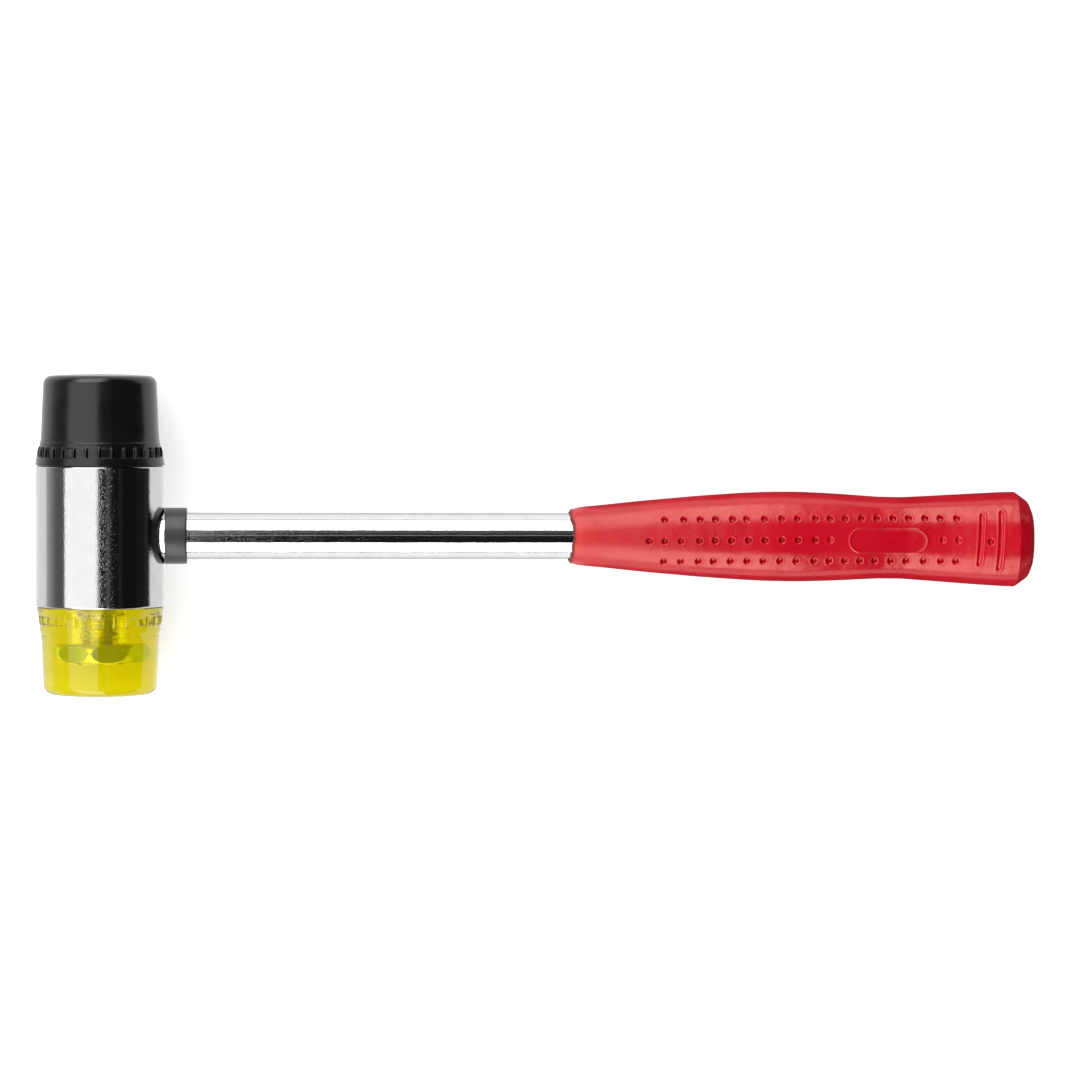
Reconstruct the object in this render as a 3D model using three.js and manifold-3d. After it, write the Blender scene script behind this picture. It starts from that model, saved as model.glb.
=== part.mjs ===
// Double-faced tinsmith's mallet: a steel barrel head with two screw-on striking
// faces (soft rubber and clear hard plastic), a steel tube handle and a soft grip.
//
// The mallet lies on its side, as it does on a bench. +Z is up, the handle runs
// along +X and the head axis along Y, with the rubber face at +Y. It rests on the
// two face flanges and on the butt of the grip, so the handle droops slightly
// towards +X. The origin is under the middle of the mallet, on the bench.
import * as THREE from "three";
import { mergeVertices } from "three/addons/utils/BufferGeometryUtils.js";
import Module from "manifold-3d";

const wasm = await Module();
wasm.setup();

// ---------------------------------------------------------------- dimensions (mm)

// Head barrel, about the head axis
const BARREL_R = 17.4;
const BARREL_HALF = 19.15; // half its length
const BARREL_CHAMFER = 0.6;
const BORE_R = 6.55; // cross bore for the handle tube
const BORE_BOTTOM = -11.2; // the bore is blind, its floor is past the head axis
const TAPPED_R = 5.35; // end holes for the studs

// M10 x 1.5 studs and thin hex nuts
const STUD_R = 5.0;
const STUD_ROOT_R = 4.15;
const PITCH = 1.5;
const STUD_IN = 12.5; // length inside the barrel
const STUD_OUT = 15.0; // length that stands out of the barrel, ten turns
const NUT_FLATS = 16.0;
const NUT_H = 5.0;
const NUT_FROM = 9.65; // from the seat of the face to the nut
const NUT_BORE_R = 5.25;

// Striking faces, measured outwards from the seat on the barrel's end
const SEAT_GAP = 0.1;
const FLANGE_R = 17.6;
const RUBBER_FACE_H = 24.5;
const PLASTIC_FACE_H = 23.9; // the hard plastic shrinks a little more in its mould
const SOCKET_R = 5.4; // hole for the stud
const SOCKET_DEPTH = 15.2;
const POCKET_FLATS = 16.4; // pocket for the moulded-in nut
const POCKET_FROM = 9.45;
const RIBS = 30;
const RIB_W = 0.8;
const RUBBER_RIB_PHASE_DEG = -2.6;
const PLASTIC_RIB_PHASE_DEG = 0.3;
const NUT_PHASE_DEG = 15.5;
const FACE_FOOT = [
  // distance from the seat, radius
  [0.0, 17.35],
  [0.25, FLANGE_R],
  [2.1, 17.3],
  [2.1, 16.4],
  [4.7, 16.3],
  [4.85, 16.58],
  [6.0, 16.36],
  [8.2, 16.0],
  [15.4, 15.72],
];
const FACE_HEAD = [
  // distance back from the striking face, radius
  [2.8, 15.42],
  [1.6, 15.02],
  [0.75, 14.2],
  [0.3, 13.1],
  [0.0, 10.0],
];
const RIB_SECTION = [
  [2.0, 16.0],
  [2.0, 17.15],
  [3.9, 16.98],
  [4.95, 16.55],
  [4.95, 16.0],
];

// Handle tube, its plug and its collar, about the handle axis
const TUBE_R = 6.3;
const TUBE_INNER_R = 5.1;
const TUBE_FROM = -10.9;
const TUBE_TO = 247.0;
const PLUG_R = 4.85;
const PLUG_TO = 14.0;
const COLLAR_R = 7.66;
const COLLAR_INNER_R = 6.6;
const COLLAR_FROM = 17.7;
const COLLAR_TO = 23.55;
const COLLAR_EDGE = 0.5;

// Grip sleeve: stations of [distance along the handle, half width, half thickness]
const GRIP_BORE_R = 6.6;
const GRIP_BORE_TO = 247.4;
const GRIP_STATIONS = [
  [127.9, 7.1, 7.1],
  [128.3, 7.45, 7.45],
  [130.2, 7.86, 7.82],
  [136.8, 8.54, 8.36],
  [143.3, 9.23, 8.85],
  [149.9, 9.9, 9.3],
  [156.5, 10.46, 9.7],
  [163.0, 11.07, 10.15],
  [169.6, 11.5, 10.5],
  [176.1, 11.96, 10.85],
  [182.7, 12.2, 11.05],
  [189.3, 12.28, 11.15],
  [195.8, 12.14, 11.0],
  [202.4, 11.85, 10.75],
  [209.0, 11.45, 10.45],
  [213.5, 11.2, 10.25],
  [218.5, 11.12, 10.2],
  [224.3, 11.5, 10.5],
  [230.8, 11.93, 10.85],
  [237.4, 12.35, 11.2],
  [244.0, 12.75, 11.65],
  [247.6, 12.97, 11.95],
  [249.4, 12.95, 12.0],
  [250.5, 12.62, 11.7],
  [253.8, 10.1, 9.4],
  [254.8, 8.75, 8.15],
  [255.25, 6.8, 6.4],
];

// Lying on the bench
const REST_TILT_DEG = 1.2863;

// ---------------------------------------------------------------- helpers

const HEAD_SIDES = 48;
const ROUND_SIDES = 32;

// A closed mesh as a solid that can be joined and cut.
function solid(geometry) {
  const bare = geometry.index ? geometry.toNonIndexed() : geometry.clone();
  bare.deleteAttribute("normal");
  bare.deleteAttribute("uv");
  const merged = mergeVertices(bare, 1e-4);
  const triVerts = new Uint32Array(merged.index.array);
  const make = () =>
    new wasm.Manifold(
      new wasm.Mesh({
        numProp: 3,
        vertProperties: new Float32Array(merged.attributes.position.array),
        triVerts,
      }),
    );
  const made = make();
  if (made.volume() > 0) return made;
  for (let i = 0; i < triVerts.length; i += 3)
    [triVerts[i + 1], triVerts[i + 2]] = [triVerts[i + 2], triVerts[i + 1]];
  return make();
}

function geometryOf(made) {
  const mesh = made.getMesh();
  const position = new Float32Array(mesh.numVert * 3);
  for (let i = 0; i < mesh.numVert; i++)
    position.set(
      mesh.vertProperties.subarray(i * mesh.numProp, i * mesh.numProp + 3),
      i * 3,
    );
  return new THREE.BufferGeometry()
    .setAttribute("position", new THREE.BufferAttribute(position, 3))
    .setIndex(new THREE.BufferAttribute(new Uint32Array(mesh.triVerts), 1));
}

// A section of [distance along the axis, radius] pairs turned about Y.
function turned(section, sides) {
  return new THREE.LatheGeometry(
    section.map(([along, radius]) => new THREE.Vector2(radius, along)),
    sides,
  );
}

// The same about X, for pieces on the handle.
function turnedAlongHandle(section, sides) {
  return turned(section, sides).rotateZ(-Math.PI / 2);
}

// A solid round bar about Y, for cutting holes.
function bar(radius, from, to, sides = ROUND_SIDES) {
  return new THREE.CylinderGeometry(radius, radius, to - from, sides).translate(
    0,
    (from + to) / 2,
    0,
  );
}

// A hexagon prism about Y with one flat's middle at the given angle from +Z towards +X.
function hexPrism(flats, from, to, phaseDeg) {
  return new THREE.CylinderGeometry(
    flats / Math.sqrt(3),
    flats / Math.sqrt(3),
    to - from,
    6,
  )
    .rotateY(THREE.MathUtils.degToRad(phaseDeg + 30))
    .translate(0, (from + to) / 2, 0);
}

// ---------------------------------------------------------------- materials

const chrome = () =>
  new THREE.MeshStandardMaterial({ color: 0xd9dadb, roughness: 0.08, metalness: 1 });
const zincSteel = () =>
  new THREE.MeshStandardMaterial({ color: 0xa9a694, roughness: 0.32, metalness: 1 });
const plainSteel = () =>
  new THREE.MeshStandardMaterial({ color: 0x8d8f91, roughness: 0.4, metalness: 1 });
const blackRubber = () =>
  new THREE.MeshStandardMaterial({ color: 0x1b1b1d, roughness: 0.5, metalness: 0 });
const blackPlastic = () =>
  new THREE.MeshStandardMaterial({ color: 0x17171a, roughness: 0.4, metalness: 0 });
const yellowPlastic = () =>
  new THREE.MeshStandardMaterial({
    color: 0xe6d21a,
    roughness: 0.12,
    metalness: 0,
    transparent: true,
    opacity: 0.8,
  });
const redGrip = () =>
  new THREE.MeshStandardMaterial({ color: 0xd31a2f, roughness: 0.38, metalness: 0 });

function piece(name, geometry, material, parent) {
  const mesh = new THREE.Mesh(geometry, material);
  mesh.geometry.computeVertexNormals();
  mesh.name = name;
  parent.add(mesh);
  return mesh;
}

// ---------------------------------------------------------------- head barrel

function barrelGeometry() {
  const r = BARREL_R;
  const h = BARREL_HALF;
  const c = BARREL_CHAMFER;
  const body = solid(
    turned(
      [
        [-h, 0],
        [-h, r - c],
        [-h + c * 0.35, r - c * 0.35],
        [-h + c, r],
        [h - c, r],
        [h - c * 0.35, r - c * 0.35],
        [h, r - c],
        [h, 0],
      ],
      60,
    ),
  );
  const crossBore = solid(
    bar(BORE_R, BORE_BOTTOM, r + 5, 40).rotateZ(-Math.PI / 2),
  );
  const endHoles = solid(bar(TAPPED_R, -h - 5, h + 5));
  return geometryOf(body.subtract(crossBore).subtract(endHoles));
}

// ---------------------------------------------------------------- studs, nuts and faces
// These are built from the seat of a face outwards along +Y.

function studGeometry() {
  const section = [
    [-STUD_IN, 0],
    [-STUD_IN, STUD_ROOT_R - 0.35],
    [-STUD_IN + 0.75, STUD_ROOT_R + 0.4],
  ];
  const first = -STUD_IN + 1.5;
  const turns = Math.floor((STUD_OUT - 1.2 - first) / PITCH);
  for (let i = 0; i <= turns; i++) {
    section.push([first + i * PITCH, STUD_R]);
    section.push([first + (i + 0.5) * PITCH, STUD_ROOT_R]);
  }
  section.push([STUD_OUT - 0.45, STUD_ROOT_R + 0.3]);
  section.push([STUD_OUT, STUD_ROOT_R - 0.35]);
  section.push([STUD_OUT, 0]);
  return turned(section, 20);
}

function nutGeometry(phaseDeg) {
  const to = NUT_FROM + NUT_H;
  const corner = NUT_FLATS / Math.sqrt(3);
  const crown = NUT_FLATS / 2 - 0.3; // radius of the round land on each end
  const rise = (corner + 0.4 - crown) * Math.tan(THREE.MathUtils.degToRad(30));
  const prism = solid(hexPrism(NUT_FLATS, NUT_FROM, to, phaseDeg));
  const chamfers = solid(
    turned(
      [
        [NUT_FROM, 0],
        [NUT_FROM, crown],
        [NUT_FROM + rise, corner + 0.4],
        [to - rise, corner + 0.4],
        [to, crown],
        [to, 0],
      ],
      48,
    ),
  );
  const hole = solid(bar(NUT_BORE_R, NUT_FROM - 2, to + 2));
  return geometryOf(prism.intersect(chamfers).subtract(hole));
}

function faceGeometry(height, ribPhaseDeg, nutPhaseDeg) {
  const head = FACE_HEAD.map(([back, radius]) => [height - back, radius]);
  let body = solid(
    turned([[0, 0], ...FACE_FOOT, ...head, [height, 0]], HEAD_SIDES),
  );
  const ribShape = new THREE.Shape(
    RIB_SECTION.map(([along, radius]) => new THREE.Vector2(radius, along)),
  );
  for (let i = 0; i < RIBS; i++) {
    const angle = THREE.MathUtils.degToRad(ribPhaseDeg + (i * 360) / RIBS);
    const rib = new THREE.ExtrudeGeometry(ribShape, {
      depth: RIB_W,
      bevelEnabled: false,
    })
      .translate(0, 0, -RIB_W / 2)
      .rotateY(angle - Math.PI / 2);
    body = body.add(solid(rib));
  }
  const socket = solid(bar(SOCKET_R, -3, SOCKET_DEPTH));
  const pocket = solid(
    hexPrism(POCKET_FLATS, POCKET_FROM, SOCKET_DEPTH, nutPhaseDeg),
  );
  return geometryOf(body.subtract(socket.add(pocket)));
}

// ---------------------------------------------------------------- handle

function tubeGeometry() {
  return turnedAlongHandle(
    [
      [TUBE_FROM, TUBE_INNER_R],
      [TUBE_FROM, TUBE_R - 0.3],
      [TUBE_FROM + 0.3, TUBE_R],
      [TUBE_TO - 0.3, TUBE_R],
      [TUBE_TO, TUBE_R - 0.3],
      [TUBE_TO, TUBE_INNER_R],
      [TUBE_FROM, TUBE_INNER_R],
    ],
    40,
  );
}

function plugGeometry() {
  return turnedAlongHandle(
    [
      [TUBE_FROM, 0],
      [TUBE_FROM, PLUG_R - 0.5],
      [TUBE_FROM + 0.5, PLUG_R],
      [PLUG_TO - 0.5, PLUG_R],
      [PLUG_TO, PLUG_R - 0.5],
      [PLUG_TO, 0],
    ],
    ROUND_SIDES,
  );
}

function collarGeometry() {
  const e = COLLAR_EDGE;
  return turnedAlongHandle(
    [
      [COLLAR_FROM, COLLAR_INNER_R],
      [COLLAR_FROM, COLLAR_R - e],
      [COLLAR_FROM + e * 0.3, COLLAR_R - e * 0.3],
      [COLLAR_FROM + e, COLLAR_R],
      [COLLAR_TO - e, COLLAR_R],
      [COLLAR_TO - e * 0.3, COLLAR_R - e * 0.3],
      [COLLAR_TO, COLLAR_R - e],
      [COLLAR_TO, COLLAR_INNER_R],
      [COLLAR_FROM, COLLAR_INNER_R],
    ],
    40,
  );
}

// The grip is turned first, then each outer station is stretched to its oval.
function gripGeometry() {
  const sides = 32;
  const section = [
    [GRIP_BORE_TO, 0, 0],
    [GRIP_BORE_TO, GRIP_BORE_R, GRIP_BORE_R],
    [GRIP_STATIONS[0][0], GRIP_BORE_R, GRIP_BORE_R],
    ...GRIP_STATIONS,
    [GRIP_STATIONS.at(-1)[0], 0, 0],
  ];
  const geometry = turned(
    section.map(([along, width]) => [along, width]),
    sides,
  );
  const position = geometry.attributes.position;
  for (let i = 0; i <= sides; i++) {
    const angle = (i * 2 * Math.PI) / sides;
    const c = Math.cos(angle);
    const s = Math.sin(angle);
    section.forEach(([along, width, thickness], j) => {
      const squareness = 2 / (width === thickness ? 2 : 2.25);
      const oval = (v) => Math.sign(v) * Math.abs(v) ** squareness;
      position.setXYZ(
        i * section.length + j,
        along,
        width * oval(i % sides === 0 ? 1 : c),
        thickness * oval(i % (sides / 2) === 0 ? 0 : s),
      );
    });
  }
  return geometryOf(solid(geometry));
}

// ---------------------------------------------------------------- assembly

const mallet = new THREE.Group();
const lying = new THREE.Group(); // head and handle axes cross at its origin
lying.rotation.y = THREE.MathUtils.degToRad(REST_TILT_DEG);
mallet.add(lying);

piece("head_barrel", barrelGeometry(), chrome(), lying);

const rubberEnd = new THREE.Group();
rubberEnd.position.y = BARREL_HALF;
lying.add(rubberEnd);

const plasticEnd = new THREE.Group();
plasticEnd.position.y = -BARREL_HALF;
plasticEnd.rotation.z = Math.PI;
lying.add(plasticEnd);

for (const [end, name, material, height, ribPhase, nutPhase] of [
  [rubberEnd, "rubber_face", blackRubber(), RUBBER_FACE_H, RUBBER_RIB_PHASE_DEG, NUT_PHASE_DEG],
  [plasticEnd, "plastic_face", yellowPlastic(), PLASTIC_FACE_H, -PLASTIC_RIB_PHASE_DEG, -NUT_PHASE_DEG],
]) {
  piece(name + "_stud", geometryOf(solid(studGeometry())), zincSteel(), end);
  const seated = new THREE.Group();
  seated.position.y = SEAT_GAP;
  end.add(seated);
  piece(name + "_nut", nutGeometry(nutPhase), zincSteel(), seated);
  piece(name, faceGeometry(height, ribPhase, nutPhase), material, seated);
}

piece("handle_tube", geometryOf(solid(tubeGeometry())), chrome(), lying);
piece("tube_plug", geometryOf(solid(plugGeometry())), plainSteel(), lying);
piece("handle_collar", geometryOf(solid(collarGeometry())), blackPlastic(), lying);
piece("grip_sleeve", gripGeometry(), redGrip(), lying);

// Stand it on the bench, with the origin under the middle of its outline.
mallet.updateMatrixWorld(true);
const outline = new THREE.Box3().setFromObject(mallet, true);
const middle = outline.getCenter(new THREE.Vector3());
lying.position.set(-middle.x, -middle.y, -outline.min.z);

export default mallet;
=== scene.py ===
"""Looks for the double-faced mallet: every visible piece is modelled finely and finished here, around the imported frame."""

import math

import bpy
import numpy as np
from mathutils import Matrix, Vector


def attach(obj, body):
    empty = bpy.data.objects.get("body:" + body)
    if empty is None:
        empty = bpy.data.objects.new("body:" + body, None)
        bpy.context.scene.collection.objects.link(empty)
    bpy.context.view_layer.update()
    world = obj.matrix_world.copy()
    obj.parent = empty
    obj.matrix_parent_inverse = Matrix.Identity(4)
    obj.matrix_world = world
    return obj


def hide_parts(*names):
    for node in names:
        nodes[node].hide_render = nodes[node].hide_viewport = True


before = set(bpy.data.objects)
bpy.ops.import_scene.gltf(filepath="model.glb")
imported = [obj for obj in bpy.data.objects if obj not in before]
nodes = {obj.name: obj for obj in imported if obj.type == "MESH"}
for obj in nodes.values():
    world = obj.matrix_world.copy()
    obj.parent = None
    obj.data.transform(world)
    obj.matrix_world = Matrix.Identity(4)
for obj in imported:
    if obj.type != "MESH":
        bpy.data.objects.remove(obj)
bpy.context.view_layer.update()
scene = bpy.context.scene

# ------------------------------------------------------------------ the mallet's own frame
# Millimetres, with head and handle axes crossing at the origin: X along the handle,
# Y along the head towards the rubber face, Z up. It lies tilted on the floor.
TILT = math.radians(1.2863)
HEAD_X, HEAD_Y, HEAD_Z = -118.866891, -0.3, 17.595578

BARREL_R, BARREL_HALF = 17.4, 19.15
SEAT_GAP = 0.1
TUBE_R, TUBE_IN = 6.3, 5.1
STUD_R, STUD_ROOT, PITCH = 5.0, 4.12, 1.5
NUT_FLATS, NUT_FROM, NUT_H = 16.0, 9.65, 5.0


def to_row(points):
    """Points in the mallet's own frame, in mm, as points in the row frame, in metres."""
    p = np.asarray(points, float).reshape(-1, 3)
    c, s = math.cos(TILT), math.sin(TILT)
    return np.stack(
        [
            p[:, 0] * c + p[:, 2] * s + HEAD_X,
            p[:, 1] + HEAD_Y,
            -p[:, 0] * s + p[:, 2] * c + HEAD_Z,
        ],
        1,
    ) * 0.001


# ------------------------------------------------------------------ mesh helpers


def signed_volume(verts, faces):
    v = np.asarray(verts, float)
    total = 0.0
    quads = np.array([f for f in faces if len(f) == 4], int).reshape(-1, 4)
    tris = [f for f in faces if len(f) == 3]
    tri = np.array(tris, int).reshape(-1, 3)
    if len(quads):
        tri = np.concatenate([tri, quads[:, [0, 1, 2]], quads[:, [0, 2, 3]]])
    a, b, c = v[tri[:, 0]], v[tri[:, 1]], v[tri[:, 2]]
    total += float(np.einsum("ij,ij->i", a, np.cross(b, c)).sum()) / 6
    return total


def make(name, points, faces, material, smooth=True):
    """A mesh object from points in the mallet's own frame, with its faces turned outwards."""
    points = np.asarray(points, float)
    if signed_volume(points, faces) < 0:
        faces = [tuple(reversed(f)) for f in faces]
    mesh = bpy.data.meshes.new(name)
    mesh.from_pydata(to_row(points).tolist(), [], faces)
    mesh.update()
    if smooth:
        mesh.polygons.foreach_set("use_smooth", [True] * len(mesh.polygons))
    obj = bpy.data.objects.new(name, mesh)
    scene.collection.objects.link(obj)
    if material is not None:
        mesh.materials.append(material)
    return obj


def settle(obj, body, slot, *replaced):
    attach(obj, body)
    if replaced:
        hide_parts(*replaced)
    return obj


def rounded(points, segments=6, support=0.05, cyclic=False):
    """A polyline of (along, radius[, fillet]) with each filleted corner as an arc, held by a close pair of points."""
    out = []
    n = len(points)
    for i, p in enumerate(points):
        here = np.array(p[:2], float)
        fillet = p[2] if len(p) > 2 else 0.0
        if not fillet or (not cyclic and i in (0, n - 1)):
            out.append(here)
            continue
        before = np.array(points[(i - 1) % n][:2], float)
        after = np.array(points[(i + 1) % n][:2], float)
        d0 = (before - here) / np.linalg.norm(before - here)
        d1 = (after - here) / np.linalg.norm(after - here)
        corner = math.acos(max(-1.0, min(1.0, float(d0 @ d1))))
        reach = fillet / math.tan(corner / 2)
        t0, t1 = here + d0 * reach, here + d1 * reach
        mid = (d0 + d1) / np.linalg.norm(d0 + d1)
        centre = here + mid * (fillet / math.sin(corner / 2))
        a0 = math.atan2(*(t0 - centre)[::-1])
        a1 = math.atan2(*(t1 - centre)[::-1])
        turn = (a1 - a0 + math.pi) % (2 * math.pi) - math.pi
        out.append(t0 + d0 * support)
        for k in range(segments + 1):
            a = a0 + turn * k / segments
            out.append(centre + fillet * np.array([math.cos(a), math.sin(a)]))
        out.append(t1 + d1 * support)
    return [tuple(p) for p in out]


def spun(profile, angles, axis, cyclic=False):
    """Points and faces of a profile of (along, radius) turned about the head (Y) or handle (X) axis.
    Angles run from +Z towards +X about the head, and from +Y towards +Z about the handle."""
    angles = np.asarray(angles, float)
    n = len(angles)
    points, rows = [], []
    for along, radius in profile:
        start = len(points)
        if radius < 1e-9:
            points.append((0.0, along, 0.0) if axis == "Y" else (along, 0.0, 0.0))
            rows.append([start] * n)
            continue
        s, c = np.sin(angles) * radius, np.cos(angles) * radius
        if axis == "Y":
            points.extend(zip(s, np.full(n, along), c))
        else:
            points.extend(zip(np.full(n, along), c, s))
        rows.append(list(range(start, start + n)))
    return points, stitched(rows, cyclic)


def stitched(rows, cyclic=False):
    faces = []
    n = len(rows[0])
    pairs = list(zip(rows, rows[1:])) + ([(rows[-1], rows[0])] if cyclic else [])
    for low, high in pairs:
        for i in range(n):
            j = (i + 1) % n
            if low[i] == low[j] and high[i] == high[j]:
                continue
            if low[i] == low[j]:
                faces.append((low[i], high[j], high[i]))
            elif high[i] == high[j]:
                faces.append((low[i], low[j], high[i]))
            else:
                faces.append((low[i], low[j], high[j], high[i]))
    return faces


def full_turn(count):
    return np.arange(count) * (2 * math.pi / count)


def boolean(obj, cutter, operation):
    """Cuts or joins obj with cutter, applies it and removes the cutter."""
    modifier = obj.modifiers.new("cut", "BOOLEAN")
    modifier.operation = operation
    modifier.solver = "EXACT"
    modifier.object = cutter
    bpy.context.view_layer.update()
    result = bpy.data.meshes.new_from_object(
        obj.evaluated_get(bpy.context.evaluated_depsgraph_get())
    )
    obj.modifiers.clear()
    old = obj.data
    obj.data = result
    result.name = obj.name
    bpy.data.meshes.remove(old)
    spare = cutter.data
    bpy.data.objects.remove(cutter)
    bpy.data.meshes.remove(spare)
    return obj


# ------------------------------------------------------------------ materials


class Shader:
    """A small helper around one material's nodes."""

    def __init__(self, name):
        self.material = bpy.data.materials.new(name)
        self.material.use_nodes = True
        self.tree = self.material.node_tree
        self.bsdf = self.tree.nodes["Principled BSDF"]
        self.output = self.tree.nodes["Material Output"]
        self.coords = self.tree.nodes.new("ShaderNodeTexCoord").outputs["Object"]

    def set(self, **values):
        for key, value in values.items():
            self.bsdf.inputs[key.replace("_", " ")].default_value = value
        return self

    def link(self, a, b):
        self.tree.links.new(a, b)

    def stretched(self, scale):
        node = self.tree.nodes.new("ShaderNodeMapping")
        node.inputs["Scale"].default_value = scale
        self.link(self.coords, node.inputs["Vector"])
        return node.outputs["Vector"]

    def noise(self, scale, detail=3.0, roughness=0.55, vector=None):
        node = self.tree.nodes.new("ShaderNodeTexNoise")
        node.inputs["Scale"].default_value = scale
        node.inputs["Detail"].default_value = detail
        node.inputs["Roughness"].default_value = roughness
        self.link(vector or self.coords, node.inputs["Vector"])
        return node.outputs["Fac"]

    def cells(self, scale, vector=None):
        node = self.tree.nodes.new("ShaderNodeTexVoronoi")
        node.inputs["Scale"].default_value = scale
        self.link(vector or self.coords, node.inputs["Vector"])
        return node.outputs["Distance"]

    def ramp(self, value, low, high, out_low=0.0, out_high=1.0):
        node = self.tree.nodes.new("ShaderNodeMapRange")
        node.interpolation_type = "SMOOTHSTEP"
        self.link(value, node.inputs["Value"])
        node.inputs["From Min"].default_value = low
        node.inputs["From Max"].default_value = high
        node.inputs["To Min"].default_value = out_low
        node.inputs["To Max"].default_value = out_high
        return node.outputs["Result"]

    def math(self, operation, a, b):
        node = self.tree.nodes.new("ShaderNodeMath")
        node.operation = operation
        for socket, value in zip(node.inputs, (a, b)):
            if isinstance(value, (int, float)):
                socket.default_value = value
            else:
                self.link(value, socket)
        return node.outputs[0]

    def mix(self, factor, a, b):
        node = self.tree.nodes.new("ShaderNodeMix")
        node.data_type = "RGBA"
        self.link(factor, node.inputs["Factor"])
        for name, value in (("A", a), ("B", b)):
            socket = [s for s in node.inputs if s.name == name and s.type == "RGBA"][0]
            if isinstance(value, tuple):
                socket.default_value = (*value, 1.0)
            else:
                self.link(value, socket)
        return [s for s in node.outputs if s.type == "RGBA"][0]

    def bump(self, height, distance, strength=1.0, normal=None):
        node = self.tree.nodes.new("ShaderNodeBump")
        node.inputs["Strength"].default_value = strength
        node.inputs["Distance"].default_value = distance
        self.link(height, node.inputs["Height"])
        if normal is not None:
            self.link(normal, node.inputs["Normal"])
        return node.outputs["Normal"]


def chrome_material(name, grain, bright, dull, rough, pitted, edge=1.0):
    """Bright plating: a mirror with slow waves, faint polishing lines along the piece and fine pits,
    most of them in a band between the X positions in pitted. edge is how much of its mirror stays at a glancing angle."""
    s = Shader(name).set(Metallic=1.0, Specular_Tint=(edge, edge, edge, 1.0))
    lines = s.noise(1.0, 2.0, 0.6, s.stretched(grain))
    haze = s.noise(220.0, 4.0, 0.6)
    s.link(s.mix(s.ramp(haze, 0.35, 0.7), bright, dull), s.bsdf.inputs["Base Color"])
    waves = s.bump(s.noise(60.0, 2.0), 4.0e-5)
    peel = s.bump(s.noise(2600.0, 1.5, 0.55), 2.0e-5 * rough, 1.0, waves)
    place = s.tree.nodes.new("ShaderNodeSeparateXYZ")
    s.link(s.coords, place.inputs[0])
    start, end = pitted
    worn = s.math(
        "MULTIPLY",
        s.ramp(place.outputs["X"], start - 0.0018, start, 0.12, 1.0),
        s.ramp(place.outputs["X"], end, end + 0.003, 1.0, 0.12),
    )
    specks = s.math("MULTIPLY", s.ramp(s.cells(2000.0), 0.2, 0.4, 0.42 * rough, 0.0), s.ramp(s.noise(900.0, 2.0), 0.4, 0.58))
    polish = s.math("ADD", s.ramp(lines, 0.4, 0.75, 0.03, 0.07), s.ramp(haze, 0.5, 0.8, 0.0, 0.03))
    s.link(s.math("ADD", polish, s.math("MULTIPLY", specks, worn)), s.bsdf.inputs["Roughness"])
    pits = s.bump(s.math("MULTIPLY", s.ramp(s.noise(3400.0, 1.0, 0.5), 0.5, 0.74, 1.0, 0.0), worn), 1.3e-5 * rough, 1.0, peel)
    s.link(s.bump(lines, 2.0e-6, 1.0, pits), s.bsdf.inputs["Normal"])
    return s.material


def rubber_material():
    s = Shader("black_rubber").set(IOR=1.5)
    cloud = s.noise(160.0, 4.0, 0.6)
    s.link(
        s.mix(s.ramp(cloud, 0.3, 0.75), (0.0040, 0.0040, 0.0042), (0.0068, 0.0068, 0.0070)),
        s.bsdf.inputs["Base Color"],
    )
    s.link(s.ramp(cloud, 0.25, 0.8, 0.2, 0.27), s.bsdf.inputs["Roughness"])
    slow = s.bump(s.noise(90.0, 2.0), 4.0e-5)
    s.link(s.bump(s.noise(3800.0, 2.0, 0.6), 2.5e-6, 1.0, slow), s.bsdf.inputs["Normal"])
    return s.material


def collar_material():
    s = Shader("black_plastic").set(IOR=1.5, Specular_IOR_Level=0.7)
    cloud = s.noise(300.0, 4.0, 0.6)
    s.link(
        s.mix(s.ramp(cloud, 0.3, 0.75), (0.009, 0.009, 0.0093), (0.015, 0.015, 0.0154)),
        s.bsdf.inputs["Base Color"],
    )
    s.link(s.ramp(cloud, 0.25, 0.8, 0.34, 0.44), s.bsdf.inputs["Roughness"])
    s.link(s.bump(s.noise(4200.0, 3.0, 0.65), 8.0e-6), s.bsdf.inputs["Normal"])
    return s.material


def yellow_material():
    """Tinted plastic, clear with a slight milkiness: it refracts, and its colour deepens with thickness."""
    s = Shader("yellow_plastic").set(IOR=1.49)
    cloud = s.noise(130.0, 3.0)
    s.link(
        s.mix(s.ramp(cloud, 0.3, 0.75), (0.915, 0.850, 0.008), (0.940, 0.880, 0.014)),
        s.bsdf.inputs["Base Color"],
    )
    s.bsdf.inputs["Transmission Weight"].default_value = 0.88
    s.link(s.ramp(s.noise(500.0, 3.0), 0.35, 0.8, 0.02, 0.05), s.bsdf.inputs["Roughness"])
    s.link(s.bump(s.noise(120.0, 2.0), 2.5e-5), s.bsdf.inputs["Normal"])
    volume = s.tree.nodes.new("ShaderNodeVolumeAbsorption")
    volume.inputs["Color"].default_value = (0.910, 0.876, 0.1, 1.0)
    volume.inputs["Density"].default_value = 90.0
    s.link(volume.outputs["Volume"], s.output.inputs["Volume"])
    return s.material


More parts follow.
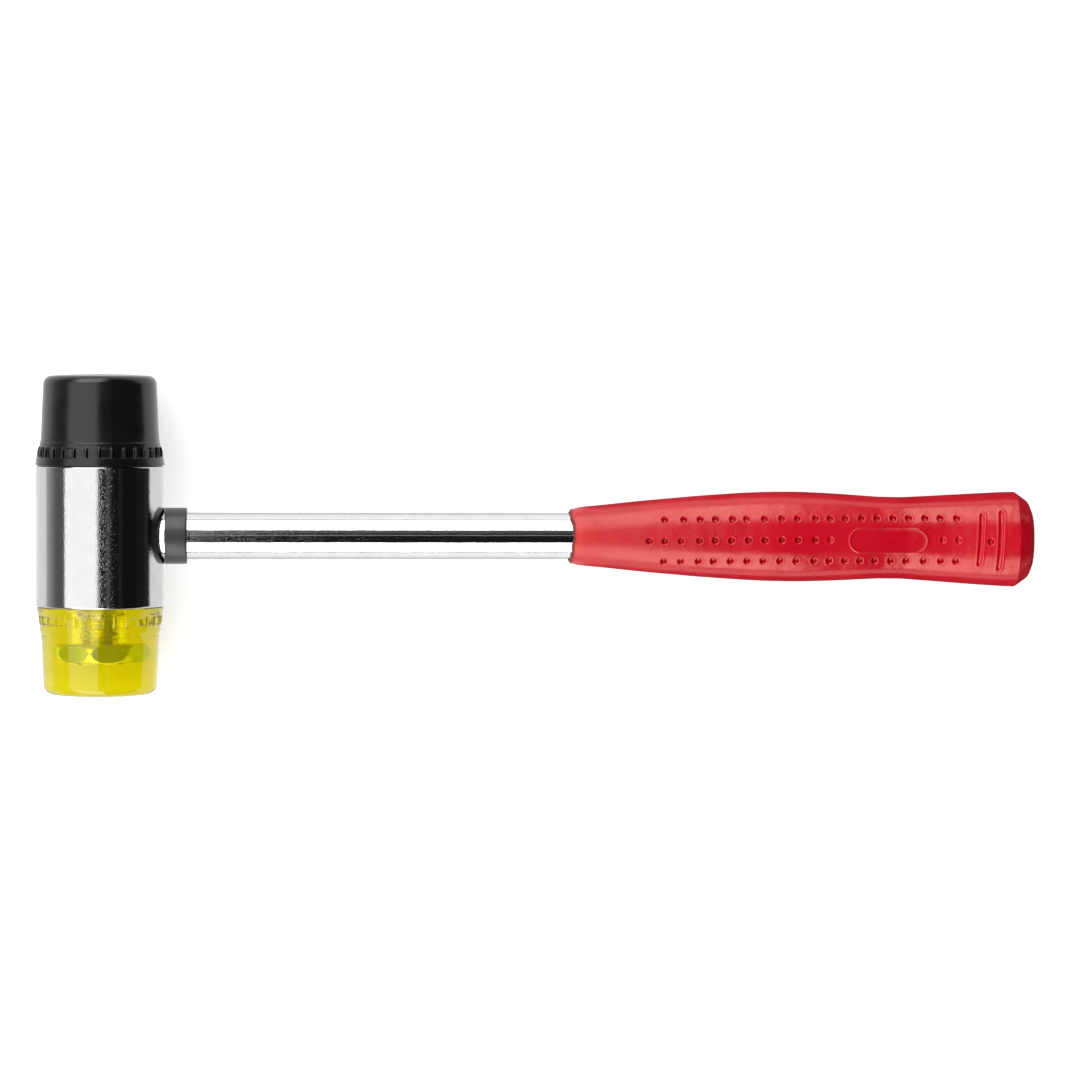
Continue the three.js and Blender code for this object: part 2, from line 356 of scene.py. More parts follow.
def zinc_material(name, light, dark, low, high, metal, rim_highlight=None):
    """Zinc plating; the optional last colour is painted on surfaces that lean towards the piece's ends: a painted
    highlight ring.
    """
    s = Shader(name).set(Metallic=metal)
    cloud = s.noise(600.0, 4.0, 0.6)
    tint = s.mix(s.ramp(cloud, 0.3, 0.75), light, dark)
    if rim_highlight:
        lean = s.tree.nodes.new("ShaderNodeSeparateXYZ")
        s.link(s.tree.nodes.new("ShaderNodeNewGeometry").outputs["Normal"], lean.inputs[0])
        # Painted highlight: surfaces leaning towards the ends take the lighter rim colour.
        tint = s.mix(s.ramp(s.math("ABSOLUTE", lean.outputs["Y"], 0.0), 0.05, 0.3), tint, rim_highlight)
    s.link(tint, s.bsdf.inputs["Base Color"])
    s.link(s.ramp(cloud, 0.25, 0.8, low, high), s.bsdf.inputs["Roughness"])
    s.link(s.bump(s.noise(1400.0, 2.0), 1.2e-6), s.bsdf.inputs["Normal"])
    return s.material


def plug_material():
    s = Shader("plain_steel").set(Metallic=1.0)
    lines = s.noise(1.0, 3.0, 0.6, s.stretched((9000.0, 300.0, 300.0)))
    s.link(
        s.mix(s.ramp(lines, 0.3, 0.75), (0.42, 0.42, 0.43), (0.55, 0.55, 0.56)),
        s.bsdf.inputs["Base Color"],
    )
    s.link(s.ramp(lines, 0.25, 0.8, 0.3, 0.45), s.bsdf.inputs["Roughness"])
    s.link(s.bump(lines, 3.0e-6), s.bsdf.inputs["Normal"])
    return s.material


def grip_material():
    """Soft plastic: a deep red with slow tone changes, a duller neck, a fine moulded grain and painted shade along the
    cut rim where it meets the tube.
    """
    s = Shader("red_grip").set(IOR=1.5, Specular_IOR_Level=0.9, Specular_Tint=(1.0, 0.6, 0.5, 1.0))
    slow = s.noise(55.0, 3.0, 0.55)
    fine = s.noise(420.0, 4.0, 0.6)
    tone = s.mix(s.ramp(slow, 0.3, 0.72), (0.455, 0.0006, 0.0112), (0.525, 0.0014, 0.0150))
    tone = s.mix(s.ramp(fine, 0.45, 0.75, 0.0, 0.5), tone, (0.400, 0.0005, 0.0092))
    # Painted shade: a ragged dark band along the sleeve's cut rim against the tube, marked by the cut attribute; the
    # rim is also made duller.
    cut = s.tree.nodes.new("ShaderNodeAttribute")
    cut.attribute_name = "cut"
    rim_shade = s.math("MULTIPLY", cut.outputs["Fac"], s.ramp(s.noise(900.0, 2.0), 0.3, 0.6, 0.6, 1.0))
    s.link(s.mix(rim_shade, tone, (0.060, 0.008, 0.008)), s.bsdf.inputs["Base Color"])
    split = s.tree.nodes.new("ShaderNodeSeparateXYZ")
    s.link(s.coords, split.inputs[0])
    neck = s.ramp(split.outputs["X"], 0.010, 0.062, 0.17, 0.0)
    s.link(
        s.math("ADD", s.math("ADD", s.ramp(slow, 0.3, 0.75, 0.16, 0.26), s.ramp(fine, 0.4, 0.8, 0.0, 0.06)), s.math("ADD", neck, s.ramp(rim_shade, 0.0, 1.0, 0.0, 0.3))),
        s.bsdf.inputs["Roughness"],
    )
    soft = s.bump(s.noise(130.0, 3.0, 0.5), 1.9e-4)
    drawn = s.bump(s.noise(1.0, 3.0, 0.6, s.stretched((420.0, 900.0, 900.0))), 3.0e-5, 1.0, soft)
    s.link(s.bump(s.noise(2600.0, 2.0, 0.6), 6.0e-6, 1.0, drawn), s.bsdf.inputs["Normal"])
    return s.material


CHROME_HEAD = chrome_material("chrome_head", (4200.0, 60.0, 4200.0), (0.582, 0.582, 0.587), (0.556, 0.556, 0.561), 1.0, (-0.1178, -0.1150))
CHROME_TUBE = chrome_material("chrome_tube", (60.0, 4200.0, 4200.0), (0.845, 0.845, 0.85), (0.81, 0.81, 0.815), 0.18, (-0.1, 0.02), 0.46)
RUBBER = rubber_material()
COLLAR = collar_material()
YELLOW = yellow_material()
# The nut's last colour is a painted highlight on its rounded sides.
ZINC = zinc_material("zinc_nut", (0.77, 0.92, 0.82), (0.68, 0.82, 0.73), 0.2, 0.28, 0.6, (0.95, 0.94, 0.90))
ZINC_STUD = zinc_material("zinc_stud", (0.92, 0.92, 0.89), (0.83, 0.83, 0.80), 0.2, 0.3, 0.85)
PLUG = plug_material()
RED = grip_material()

# ------------------------------------------------------------------ head barrel

h, r = BARREL_HALF, BARREL_R
barrel_profile = rounded(
    [
        (-h, 5.25),
        (-h, r, 0.55),
        (h, r, 0.55),
        (h, 5.25),
    ],
    segments=6,
    support=0.06,
    cyclic=True,
)
points, faces = spun(barrel_profile, full_turn(240), "Y", cyclic=True)
barrel = make("barrel", points, faces, CHROME_HEAD)
points, faces = spun([(-11.2, 0.0), (-11.2, 6.5), (30.0, 6.5), (30.0, 0.0)], full_turn(96), "X")
boolean(barrel, make("bore_cutter", points, faces, CHROME_HEAD), "DIFFERENCE")


def hold_round(obj, radius, tolerance):
    """Keeps the true round normals on a turned surface about the head axis, and lets sharp edges stay sharp."""
    mesh = obj.data
    mesh.polygons.foreach_set("use_smooth", [True] * len(mesh.polygons))
    mesh.set_sharp_from_angle(angle=math.radians(32))
    normals = [Vector(c.vector) for c in mesh.corner_normals]
    for polygon in mesh.polygons:
        c = polygon.center * 1000.0 - Vector((HEAD_X, 0.0, HEAD_Z))
        c.y = 0.0
        if abs(c.length - radius) > tolerance or c.normalized().dot(polygon.normal) < 0.995:
            continue
        for k in polygon.loop_indices:
            p = mesh.vertices[mesh.loops[k].vertex_index].co * 1000.0 - Vector((HEAD_X, 0.0, HEAD_Z))
            p.y = 0.0
            normals[k] = p.normalized()
    mesh.normals_split_custom_set([tuple(n) for n in normals])


hold_round(barrel, BARREL_R, 0.03)
settle(barrel, "handle", "chrome", "head_barrel")

# ------------------------------------------------------------------ screw-on faces

RIBS = 30
RIB_STEPS = [-1.78, -1.2, -0.78, -0.56, -0.49, -0.42, -0.35, -0.28, -0.19, 0.0, 0.19, 0.28, 0.35, 0.42, 0.49, 0.56, 0.78, 1.2]


def smoothstep(low, high, value):
    t = np.clip((np.asarray(value, float) - low) / (high - low), 0.0, 1.0)
    return t * t * (3 - 2 * t)


def resampled(polyline, count):
    p = np.array(polyline, float)
    along = np.concatenate([[0], np.cumsum(np.linalg.norm(np.diff(p, axis=0), axis=1))])
    at = np.linspace(0, along[-1], count)
    return np.stack([np.interp(at, along, p[:, 0]), np.interp(at, along, p[:, 1])], 1)


def face_profile(top, slim, slim_to, ribs):
    """Pairs of (between ribs, on a rib) points, from the middle of the striking face to the floor of the stud hole.
    top is the height of the domed middle, slim is how much is taken off the radius at the ribbed foot up to slim_to,
    and ribs is how much of their full height the ribs have."""

    def foot(polyline):
        return [(t, q - slim * float(1 - smoothstep(4.4, slim_to, t))) for t, q in polyline]

    outer = [(top - 0.42 * (q / 13.0) ** 2, q) for q in np.linspace(0.0, 12.4, 12)]
    edge = rounded(
        [outer[-1], (top - 0.56, 15.22, 2.3), (15.9, 15.61)], segments=9, support=0.05
    )[1:-1]
    wall = [
        (19.5, 15.43),
        (15.9, 15.61),
        (11.8, 15.78),
        (9.4, 15.88),
        (8.3, 15.96),
        (7.4, 16.08),
        (6.7, 16.21),
        (6.36, 16.285),
        (6.30, 16.295),
        (6.26, 16.32),
        (6.22, 16.38),
        (6.16, 16.43),
        (6.08, 16.46),
        (5.7, 16.51),
        (5.3, 16.58),
    ]
    if ribs < 1.0:
        wall = [p for p in wall if not 6.1 < p[0] < 6.4]
    join, flange = (5.08, 16.62), (2.16, 17.28)
    root = resampled(
        rounded(
            [join, (4.88, 16.62, 0.06), (4.66, 16.33, 0.1), (2.2, 16.42, 0.12), (2.14, 17.18, 0.02), flange],
            segments=3,
            support=0.02,
        ),
        26,
    )
    rib = resampled(
        rounded(
            [join, (4.97, 16.72, 0.05), (4.3, 17.08, 0.7), (3.6, 17.19, 0.8), (2.3, 17.27), flange],
            segments=5,
            support=0.02,
        ),
        26,
    )
    rim = rounded(
        [flange] + ([(2.08, 17.42, 0.1)] if ribs == 1.0 else []) + [(0.0, 17.75, 0.16), (0.0, 17.0)],
        segments=5,
        support=0.05,
    )[1:]
    seat = [(0.0, 14.0), (0.0, 10.0), (0.0, 6.6), (0.0, 6.0), (0.02, 5.9), (0.08, 5.82), (0.42, 5.42)]
    thread = [
        (t, 5.25 + 0.07 * math.cos(2 * math.pi * (t - 0.45) / PITCH))
        for t in np.arange(0.6, 9.4, 0.125)
    ]
    floor = [(9.5, 5.42), (9.7, 5.55), (14.5, 5.55), (14.6, 5.4), (14.66, 5.0), (15.1, 4.9), (15.16, 4.7), (15.2, 2.4), (15.22, 0.0)]
    pairs = [(p, p) for p in outer + edge + foot(wall)]
    root = rib + (root - rib) * ribs
    pairs += [(tuple(a), tuple(b)) for a, b in zip(foot(root), foot(rib))]
    pairs += [(p, p) for p in foot(rim) + seat + thread + floor]
    return pairs


def face_piece(name, side, phase, shape, material):
    """One striking face; side is +1 on the rubber end and -1 on the plastic end."""
    cell = 2 * math.pi / RIBS
    angles, on_rib = [], []
    for k in range(RIBS):
        for s in RIB_STEPS:
            angles.append(math.radians(phase) + k * cell + s / 1.78 * cell / 2)
            on_rib.append(1.0 - float(smoothstep(0.19, 0.52, abs(s))))
    angles, on_rib = np.array(angles), np.array(on_rib)
    sin, cos = np.sin(angles), np.cos(angles)
    start = BARREL_HALF + SEAT_GAP
    points, rows = [], []
    for (t0, r0), (t1, r1) in face_profile(*shape):
        first = len(points)
        if max(r0, r1) < 1e-9:
            points.append((0.0, side * (start + t0), 0.0))
            rows.append([first] * len(angles))
            continue
        t = t0 + (t1 - t0) * on_rib
        radius = r0 + (r1 - r0) * on_rib
        points.extend(zip(radius * sin, side * (start + t), radius * cos))
        rows.append(list(range(first, first + len(angles))))
    return make(name, points, stitched(rows), material)


settle(face_piece("face_rubber", 1.0, 1.1, (24.65, 0.22, 9.5, 1.0), RUBBER), "rubber_face", "black_rubber", "rubber_face")
settle(face_piece("face_plastic", -1.0, 4.0, (24.05, 0.48, 6.8, 0.36), YELLOW), "plastic_face", "yellow_plastic", "plastic_face")

# ------------------------------------------------------------------ studs and moulded-in nuts


def stud_piece(name, side):
    """A threaded stud with a true helix and chamfered ends."""
    low, high = -12.5, 15.0
    around = full_turn(48)
    stations = np.arange(low, high + 1e-6, 0.125)
    points, rows = [(0.0, side * (BARREL_HALF + low), 0.0)], [[0] * len(around)]
    for t in stations:
        turn = (t / PITCH - side * around / (2 * math.pi)) % 1.0
        flank = np.abs(turn - 0.5) * 2  # 0 in the middle of the crest, 1 in the root
        thread = STUD_R - (STUD_R - STUD_ROOT) * smoothstep(0.12, 0.88, flank)
        end = 3.75 + 1.1 * min(t - low, high - t)
        radius = np.minimum(thread, end)
        first = len(points)
        points.extend(zip(radius * np.sin(around), np.full(len(around), side * (BARREL_HALF + t)), radius * np.cos(around)))
        rows.append(list(range(first, first + len(around))))
    points.append((0.0, side * (BARREL_HALF + high), 0.0))
    rows.append([len(points) - 1] * len(around))
    obj = make(name, points, stitched(rows), ZINC_STUD)
    obj.data.set_sharp_from_angle(angle=math.radians(50))
    return obj


def nut_piece(name, side, phase):
    """A thin hexagon nut with both sides well rounded off, so that each flat ends in a round, and a bore that clears the stud."""
    start = BARREL_HALF + SEAT_GAP + NUT_FROM
    corner = NUT_FLATS / math.sqrt(3)
    flats = math.radians(phase + 30) + full_turn(6)
    points, faces = spun(
        [(side * start, 0.0), (side * start, corner), (side * (start + NUT_H), corner), (side * (start + NUT_H), 0.0)],
        flats,
        "Y",
    )
    nut = make(name, points, faces, ZINC, smooth=False)
    bulge = [
        (t, 7.5 + 1.5 * math.sqrt(max(0.0, 1 - ((NUT_H / 2 - t) / (NUT_H / 2)) ** 2)))
        for t in NUT_H / 2 * (1 - np.cos(np.linspace(0.0, math.pi, 25)))
    ]
    points, faces = spun(
        [(side * start, 5.12)] + [(side * (start + t), q) for t, q in bulge] + [(side * (start + NUT_H), 5.12)],
        full_turn(144),
        "Y",
        cyclic=True,
    )
    boolean(nut, make(name + "_round", points, faces, ZINC, smooth=False), "INTERSECT")
    nut.data.polygons.foreach_set("use_smooth", [True] * len(nut.data.polygons))
    nut.data.set_sharp_from_angle(angle=math.radians(16))
    if not nut.data.materials:
        nut.data.materials.append(ZINC)
    return nut


for side, end in ((1.0, "rubber"), (-1.0, "plastic")):
    settle(stud_piece("stud_" + end, side), end + "_stud", "zinc_steel", end + "_face_stud")
    settle(nut_piece("nut_" + end, side, 16.6), end + "_face", "zinc_steel", end + "_face_nut")

# ------------------------------------------------------------------ tube, plug and collar

points, faces = spun(
    rounded(
        [
            (-10.9, TUBE_IN),
            (-10.9, TUBE_R, 0.25),
            (15.6, TUBE_R, 2.0),
            (17.3, 6.55, 2.0),
            (19.0, 6.55, 1.0),
            (20.5, TUBE_R, 1.0),
            (247.0, TUBE_R, 0.25),
            (247.0, TUBE_IN),
        ],
        segments=4,
        support=0.06,
        cyclic=True,
    ),
    full_turn(144),
    "X",
    cyclic=True,
)
tube = make("tube", points, faces, CHROME_TUBE)
tube.data.set_sharp_from_angle(angle=math.radians(40))
settle(tube, "handle", "chrome", "handle_tube")

points, faces = spun(
    rounded(
        [(17.5, 6.58, 0.2), (17.5, 7.66, 0.2), (23.55, 7.66, 0.45), (23.55, 6.42, 0.2)],
        segments=6,
        support=0.04,
        cyclic=True,
    ),
    full_turn(144),
    "X",
    cyclic=True,
)
settle(make("collar", points, faces, COLLAR), "handle", "black_plastic", "handle_collar")

plug = nodes["tube_plug"]
plug.data.materials.clear()
plug.data.materials.append(PLUG)

# ------------------------------------------------------------------ grip sleeve
# Half widths along the handle, seen from above.
GRIP_HALF_WIDTHS = [
    (129.1, 7.54),
    (130.6, 7.92),
    (136.8, 8.54),
    (143.3, 9.23),
    (149.9, 9.90),
    (156.5, 10.48),
    (163.0, 11.05),
    (169.6, 11.52),
    (176.1, 11.94),
    (182.7, 12.2),
    (189.3, 12.28),
    (195.8, 12.13),
    (202.4, 11.83),
    (209.0, 11.45),
    (213.8, 11.22),
    (218.5, 11.2),
    (224.3, 11.5),
    (230.8, 11.92),
    (237.4, 12.35),
    (244.0, 12.75),
    (248.0, 12.96),
]
# Half thickness as a share of half width.
GRIP_FLATNESS = [(129.1, 1.0), (134.0, 0.985), (145.0, 0.955), (165.0, 0.918), (190.0, 0.908), (215.0, 0.912), (235.0, 0.908), (249.0, 0.917), (255.3, 0.93)]
# Dimples on the upper side: distance along the handle and offset across it.
TOP_ROW = [153.2, 158.4, 162.8, 167, 171.6, 175.4, 180.3, 185, 189.3, 194.3, 198.3, 202.5, 207, 211.25, 215.75, 220.05, 224.45, 228.65, 233.15]
MIDDLE_ROW = [149, 153.2, 157.6, 162.6, 166.8, 171.3, 175.9, 180.4, 185, 189.4, 194.1, 198.3, 229.25, 233.55]
BOTTOM_ROW = [153, 157.6, 162.4, 166.5, 171.1, 175.6, 180, 184.6, 189, 193.9, 198.1, 202.4, 206.6, 210.65, 215.15, 219.35, 224.15, 228.85, 232.95]
PILL = (214.35, -0.5, 10.7, 3.12)  # middle along and across, half length, half height
SLOTS = [((240.1, 6.6), (239.4, -6.4)), ((245.45, 7.45), (244.85, -7.65))]


def row_offset(row, x):
    ends = {"top": (4.75, 5.9), "middle": (-1.0, 0.0), "bottom": (-6.6, -5.8)}[row]
    return float(np.interp(x, (154.5, 230.0), ends))


FRONT_DIMPLES = [(x, row_offset("top", x), 0.9, 1.15) for x in TOP_ROW]
FRONT_DIMPLES += [(x, row_offset("middle", x), 0.9 if x < 205 else 0.84, 1.15 if x < 196 else 0.6) for x in MIDDLE_ROW]
FRONT_DIMPLES += [(x, row_offset("bottom", x), 0.9, 1.15) for x in BOTTOM_ROW]
FRONT_DIMPLES += [(242.4, -0.35, 0.94, 1.15)]
BACK_DIMPLES = [(x + 0.1, -5.4, 0.9, 1.15) for x in TOP_ROW]
BACK_DIMPLES += [(x, 0.3, 0.9, 1.15) for x in MIDDLE_ROW]
BACK_DIMPLES += [(x + 0.1, 6.0, 0.9, 1.15) for x in BOTTOM_ROW]
BACK_DIMPLES += [(243.4, 0.2, 0.86, 0.85)]


def cubic(points, x):
    """A smooth curve through the points, without overshoot."""
    px, py = np.array(points, float).T
    d = np.diff(py) / np.diff(px)
    m = np.concatenate([[d[0]], np.where(d[:-1] * d[1:] > 0, 2 * d[:-1] * d[1:] / (d[:-1] + d[1:] + 1e-12), 0.0), [d[-1]]])
    x = np.clip(np.asarray(x, float), px[0], px[-1])
    i = np.clip(np.searchsorted(px, x) - 1, 0, len(px) - 2)
    w = px[i + 1] - px[i]
    t = (x - px[i]) / w
    return (
        (1 + 2 * t) * (1 - t) ** 2 * py[i]
        + t * (1 - t) ** 2 * w * m[i]
        + t * t * (3 - 2 * t) * py[i + 1]
        + t * t * (t - 1) * w * m[i + 1]
    )


def relief(x, y, dimples, pill, slots):
    """How far the surface stands out at each point, in mm: dents are below zero and moulded lines above."""
    out = np.zeros_like(x)
    for cx, cy, radius, depth in dimples:
        near = np.abs(x - cx) < 2.0
        near &= np.abs(y - cy) < 2.0
        if not near.any():
            continue
        d = np.hypot(x[near] - cx, y[near] - cy)
        dent = -depth * (1 - smoothstep(radius * 0.46, radius * 1.05, d))
        lip = 0.025 * np.exp(-(((d - radius * 1.3) / 0.16) ** 2))
        out[near] += dent + lip
    cx, cy, long, high = pill
    straight = long - high
    d = np.hypot(np.maximum(np.abs(x - cx) - straight, 0.0), y - cy) - high
    out += 0.13 * np.exp(-((d / 0.24) ** 2)) - 0.06 * smoothstep(0.1, -0.5, d)
    for (x0, y0), (x1, y1) in slots:
        a, b = np.array((x0, y0)), np.array((x1, y1))
        along = np.clip(((x - x0) * (b - a)[0] + (y - y0) * (b - a)[1]) / ((b - a) @ (b - a)), 0, 1)
        d = np.hypot(x - (x0 + along * (b - a)[0]), y - (y0 + along * (b - a)[1]))
        out += -0.46 * (1 - smoothstep(0.22, 0.72, d)) + 0.06 * np.exp(-(((d - 0.95) / 0.2) ** 2))
    return out


def grip_piece():
    # Stations along the handle: fine over the moulded details, coarse on the plain neck.
    end = rounded(
        [(248.0, 12.96), (250.55, 13.04, 0.5), (254.0, 10.6, 2.0), (255.15, 8.0, 2.0), (255.32, 0.0)],
        segments=7,
        support=0.05,
    )
    body_x = np.concatenate(
        [
            np.linspace(129.1, 131.0, 8)[:-1],
            np.linspace(131.0, 148.0, 40)[:-1],
            np.linspace(148.0, 248.0, 621),
        ]
    )
    profile = [(x, float(w)) for x, w in zip(body_x, cubic(GRIP_HALF_WIDTHS, body_x))]
    profile += [p for p in end[1:-1]]
    profile += [(255.14 + 0.18 * (1 - (q / 7.0) ** 2), q) for q in (5.6, 4.2, 2.8, 1.4)] + [(255.32, 0.0)]
    # Around the handle: from +Y over the top (+Z) to -Y and back underneath.
    fine = np.linspace(40.0, 140.0, 117)
    coarse = np.array([0.0, 0.7, 1.6, 3.0, 6.0, 10.0, 14.5, 19.0, 23.5, 28.0, 32.0, 36.0])
    half = np.concatenate([coarse, fine, 180.0 - coarse[::-1]])[:-1]
    around = np.radians(np.concatenate([half, half + 180.0]))
    cos, sin = np.cos(around), np.sin(around)
    rim = 0.4 * -np.cos(2 * around) + 0.11 * np.sin(5 * around + 1.0) + 0.1 * np.sin(11 * around + 2.3)

    points, rows, cut = [], [], []

    def ring(x, y, z, edge=0.0):
        first = len(points)
        points.extend(zip(x, y, z))
        cut.extend([edge] * len(around))
        rows.append(list(range(first, first + len(around))))

    # Inside the sleeve, from the closed end of the bore to the open rim.
    points.append((247.4, 0.0, 0.0))
    cut.append(0.0)
    rows.append([0] * len(around))
    for x, radius in ((247.4, 3.0), (247.4, 6.3), (247.2, 6.5), (200.0, 6.5), (150.0, 6.5), (134.0, 6.5)):
        ring(np.full(len(around), x), radius * cos, radius * sin)
    # The last value of each rim ring sets how much painted shade the material lays there.
    for x, radius, edge in (
        (130.0, 6.42, 1.0),
        (128.4, 6.4, 1.0),
        (128.05, 6.42, 1.0),
        (127.93, 6.48, 1.0),
        (127.95, 6.58, 1.0),
        (128.06, 6.7, 1.0),
        (128.46, 7.32, 0.9),
        (128.53, 7.42, 0.7),
        (128.66, 7.49, 0.35),
    ):
        ring(x + rim, radius * cos, radius * sin, edge)
    for x, w in profile:
        if w < 1e-9:
            points.append((x, -0.8 * float(smoothstep(170.0, 262.0, x)), 0.0))
            cut.append(0.0)
            rows.append([len(points) - 1] * len(around))
            continue
        t = w * float(np.interp(x, *np.array(GRIP_FLATNESS).T))
        n = 2.0 + 0.28 * float(smoothstep(130.0, 165.0, x))
        radius = (np.abs(cos / w) ** n + np.abs(sin / t) ** n) ** (-1.0 / n)
        y, z = radius * cos, radius * sin
        shift = rim * float(1 - smoothstep(129.1, 138.0, x))
        xs = x + shift
        if 147.0 < x < 250.0:
            ny = np.sign(cos) * np.abs(y / w) ** (n - 1) / w
            nz = np.sign(sin) * np.abs(z / t) ** (n - 1) / t
            size = np.hypot(ny, nz)
            up = sin > 0.3
            down = sin < -0.3
            out = np.zeros_like(y)
            out[up] = relief(xs[up], y[up], FRONT_DIMPLES, PILL, SLOTS)
            out[down] = relief(xs[down], y[down], BACK_DIMPLES, (215.5, 0.3, 10.85, 3.25), [((240.7, 7.2), (240.7, -7.2)), ((246.0, 8.0), (246.0, -8.0))])
            y, z = y + out * ny / size, z + out * nz / size
        # The mould's parting line along both edges.
        seam = 0.05 * np.exp(-((np.degrees(np.minimum(np.abs(np.arctan2(sin, cos)), math.pi - np.abs(np.arctan2(sin, cos)))) / 0.9) ** 2))
        seam *= float(smoothstep(131.0, 136.0, x) * (1 - smoothstep(247.0, 249.0, x)))
        y = y + np.sign(cos) * seam - 0.8 * float(smoothstep(170.0, 262.0, x))
        ring(xs, y, z)
    obj = make("grip", points, stitched(rows), RED)
    # The cut attribute carries where painted shade goes along the rim.
    obj.data.attributes.new("cut", "FLOAT", "POINT").data.foreach_set("value", cut)
    return obj


settle(grip_piece(), "handle", "red_grip", "grip_sleeve")

# ------------------------------------------------------------------ floor, light and camera

floor_mesh = bpy.data.meshes.new("floor")
floor_mesh.from_pydata([(-30, -30, -2e-5), (30, -30, -2e-5), (30, 30, -2e-5), (-30, 30, -2e-5)], [], [(0, 1, 2, 3)])
floor = bpy.data.objects.new("floor", floor_mesh)
scene.collection.objects.link(floor)
paper = Shader("floor_paper")
away = paper.tree.nodes.new("ShaderNodeVectorMath")
away.operation = "LENGTH"
paper.link(paper.coords, away.inputs[0])
away = away.outputs["Value"]
paper.bsdf.inputs["Base Color"].default_value = (0.56, 0.56, 0.565, 1.0)
paper.bsdf.inputs["Roughness"].default_value = 0.9
paper.bsdf.inputs["Specular IOR Level"].default_value = 0.1
paper.bsdf.inputs["Emission Color"].default_value = (1.0, 1.0, 1.0, 1.0)
# Painted light: the floor glows most round the mallet and fades with distance, which washes out the mallet's shadows on
# it.
paper.link(paper.ramp(away, 0.17, 0.5, 0.66, 0.05), paper.bsdf.inputs["Emission Strength"])
floor_mesh.materials.append(paper.material)


def painted_reflection_card(name, corners, near, far, axis, low, high):
    """A card that only mirror surfaces see, dim or bright: a painted reflection that the camera, diffuse light, shadows
    and refraction pass through.
    """
    mesh = bpy.data.meshes.new(name)
    mesh.from_pydata(corners, [], [(0, 1, 2, 3)])
    card = bpy.data.objects.new(name, mesh)
    scene.collection.objects.link(card)
    card.visible_camera = card.visible_diffuse = card.visible_shadow = card.visible_transmission = False
    s = Shader(name).set(Base_Color=(0.0, 0.0, 0.0, 1.0), Specular_IOR_Level=0.0, Emission_Color=(1.0, 1.0, 1.0, 1.0))
    parts = s.tree.nodes.new("ShaderNodeSeparateXYZ")
    s.link(s.coords, parts.inputs[0])
    s.link(s.ramp(parts.outputs[axis], low, high, near, far), s.bsdf.inputs["Emission Strength"])
    mesh.materials.append(s.material)


# Painted reflection: a dim card off to the left, darker towards its top, seen only in mirror surfaces.
painted_reflection_card("flag_left", [(-0.216, -0.2, 0.0), (-0.216, 0.2, 0.0), (-0.216, 0.2, 0.078), (-0.216, -0.2, 0.078)], 0.62, 0.14, "Z", -0.012, 0.05)
# Painted reflection: a bright sheet just above the floor that mirror surfaces see in place of the floor, without its
# shadows.
painted_reflection_card("flag_floor", [(-30.0, -30.0, 0.0001), (30.0, -30.0, 0.0001), (30.0, 30.0, 0.0001), (-30.0, 30.0, 0.0001)], 1.04, 1.12, "X", -0.4, 0.4)
# Painted reflection: a dark card standing just above the collar, seen only in mirror surfaces.
painted_reflection_card("flag_near", [(-0.095, -0.022, 0.0271), (-0.095, 0.022, 0.0271), (-0.095, 0.022, 0.036), (-0.095, -0.022, 0.036)], 0.03, 0.014, "Z", 0.027, 0.032)
# Painted shadow: a dark strip on the floor under the grip, seen only in mirror surfaces.
painted_reflection_card("flag_low", [(0.012, -0.034, 0.0002), (20.0, -6.0, 0.0002), (20.0, 6.0, 0.0002), (0.012, 0.034, 0.0002)], 0.05, 0.02, "X", 0.0, 0.3)

world = bpy.data.worlds.new("studio")
scene.world = world
world.use_nodes = True
tree = world.node_tree
tree.nodes.clear()


def wire(a, b):
    tree.links.new(a, b)


def calc(operation, a, b=None):
    node = tree.nodes.new("ShaderNodeMath")
    node.operation = operation
    for socket, value in zip(node.inputs, (a, b)):
        if value is None:
            continue
        if isinstance(value, (int, float)):
            socket.default_value = value
        else:
            wire(value, socket)
    return node.outputs[0]


def step(value, low, high):
    node = tree.nodes.new("ShaderNodeMapRange")
    node.interpolation_type = "SMOOTHSTEP"
    wire(value, node.inputs["Value"])
    node.inputs["From Min"].default_value = low
    node.inputs["From Max"].default_value = high
    return node.outputs["Result"]


def band(value, low, low_full, high_full, high):
    return calc("MULTIPLY", step(value, low, low_full), calc("SUBTRACT", 1.0, step(value, high_full, high)))


def deg(value):
    return math.radians(value)


direction = tree.nodes.new("ShaderNodeTexCoord").outputs["Generated"]
split = tree.nodes.new("ShaderNodeSeparateXYZ")
wire(direction, split.inputs[0])
dx, dy, dz = split.outputs
across = calc("ARCTAN2", dy, dz)  # from straight up towards +Y
along = calc("ARCTAN2", dx, dz)  # from straight up towards +X
inside_x = band(dx, -0.7, -0.58, 0.08, 0.2)
above_x = band(dx, -0.25, -0.2, 0.1, 0.15)
inside_y = band(dy, -0.6, -0.48, 0.48, 0.6)


def lamp(mask, strength):
    return calc("MULTIPLY", mask, strength)


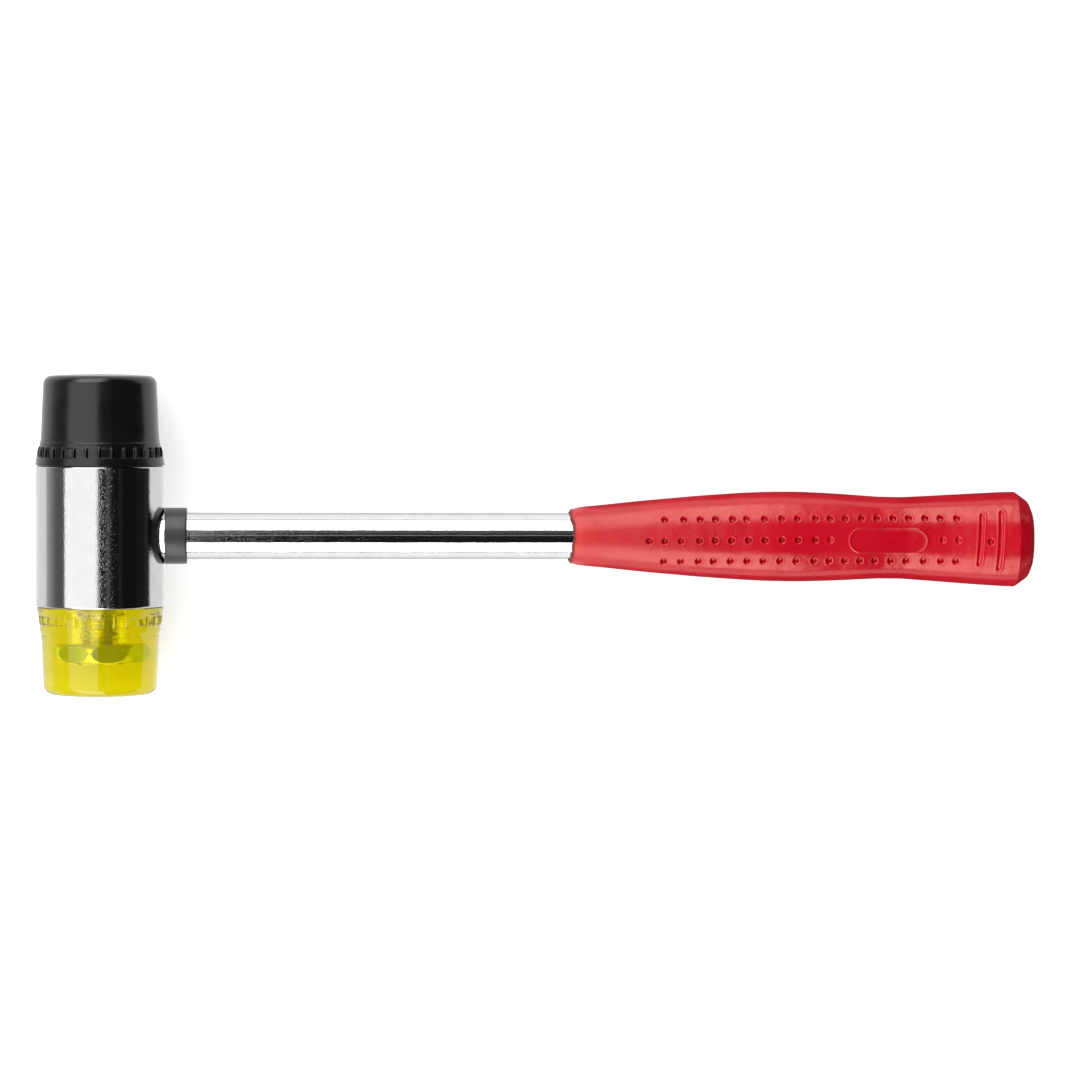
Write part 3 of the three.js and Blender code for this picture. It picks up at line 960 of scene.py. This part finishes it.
BIG, LEFT = 3.8, 1.58
parts = [
    # Two long softboxes beside the handle and a third past the head.
    lamp(calc("MULTIPLY", band(across, deg(31.0), deg(33.0), deg(84), deg(87)), inside_x), BIG),
    lamp(calc("MULTIPLY", band(across, deg(-87), deg(-84), deg(-33.5), deg(-31.5)), inside_x), BIG),
    lamp(calc("MULTIPLY", band(along, deg(-66), deg(-64), deg(-2.2), deg(-0.6)), inside_y), LEFT),
    # Dim gaps and edges between them.
    lamp(calc("MULTIPLY", band(across, deg(14), deg(16), deg(30), deg(32)), above_x), 0.08),
    lamp(calc("MULTIPLY", band(across, deg(2.5), deg(4), deg(7), deg(8.5)), above_x), 0.2),
    lamp(calc("MULTIPLY", band(along, deg(13), deg(15.5), deg(20), deg(22)), inside_y), 0.13),
    lamp(calc("MULTIPLY", band(along, deg(38), deg(39), deg(41), deg(42)), inside_y), 0.03),
]
total = 0.009
for part in parts:
    total = calc("ADD", part, total)
light_path = tree.nodes.new("ShaderNodeLightPath")
seen = tree.nodes.new("ShaderNodeMix")
seen.data_type = "FLOAT"
wire(light_path.outputs["Is Camera Ray"], seen.inputs[0])
wire(total, seen.inputs[2])
seen.inputs[3].default_value = 0.86
background = tree.nodes.new("ShaderNodeBackground")
background.inputs["Color"].default_value = (1.0, 1.0, 1.0, 1.0)
wire(seen.outputs[0], background.inputs["Strength"])
world_output = tree.nodes.new("ShaderNodeOutputWorld")
wire(background.outputs["Background"], world_output.inputs["Surface"])

scene.view_settings.view_transform = "Standard"
scene.view_settings.look = "None"
scene.view_settings.exposure = 0.0
scene.view_settings.gamma = 1.0

camera_data = bpy.data.cameras.new("camera")
camera = bpy.data.objects.new("camera", camera_data)
scene.collection.objects.link(camera)
scene.camera = camera
PIXEL = 0.2734e-3  # metres per photo pixel at the handle's height
FOCAL_PIXELS = 4000.0
camera_data.sensor_width = 36.0
camera_data.sensor_height = 36.0
camera_data.sensor_fit = "HORIZONTAL"
camera_data.lens = 36.0 * FOCAL_PIXELS / 1069.0
camera_data.clip_start = 0.01
camera_data.clip_end = 100.0
target = Vector((-0.0007, 0.00016, 0.0158))
lean_x, lean_y, roll = math.radians(-2.6), math.radians(2.4), math.radians(0.2)
back = Vector((math.tan(lean_x), math.tan(lean_y), 1.0)).normalized()
up = Vector((0.0, 1.0, 0.0))
right = up.cross(back).normalized()
up = back.cross(right)
up, right = up * math.cos(roll) - right * math.sin(roll), right * math.cos(roll) + up * math.sin(roll)
camera.matrix_world = Matrix.Translation(target + back * PIXEL * FOCAL_PIXELS) @ Matrix((right, up, back)).transposed().to_4x4()
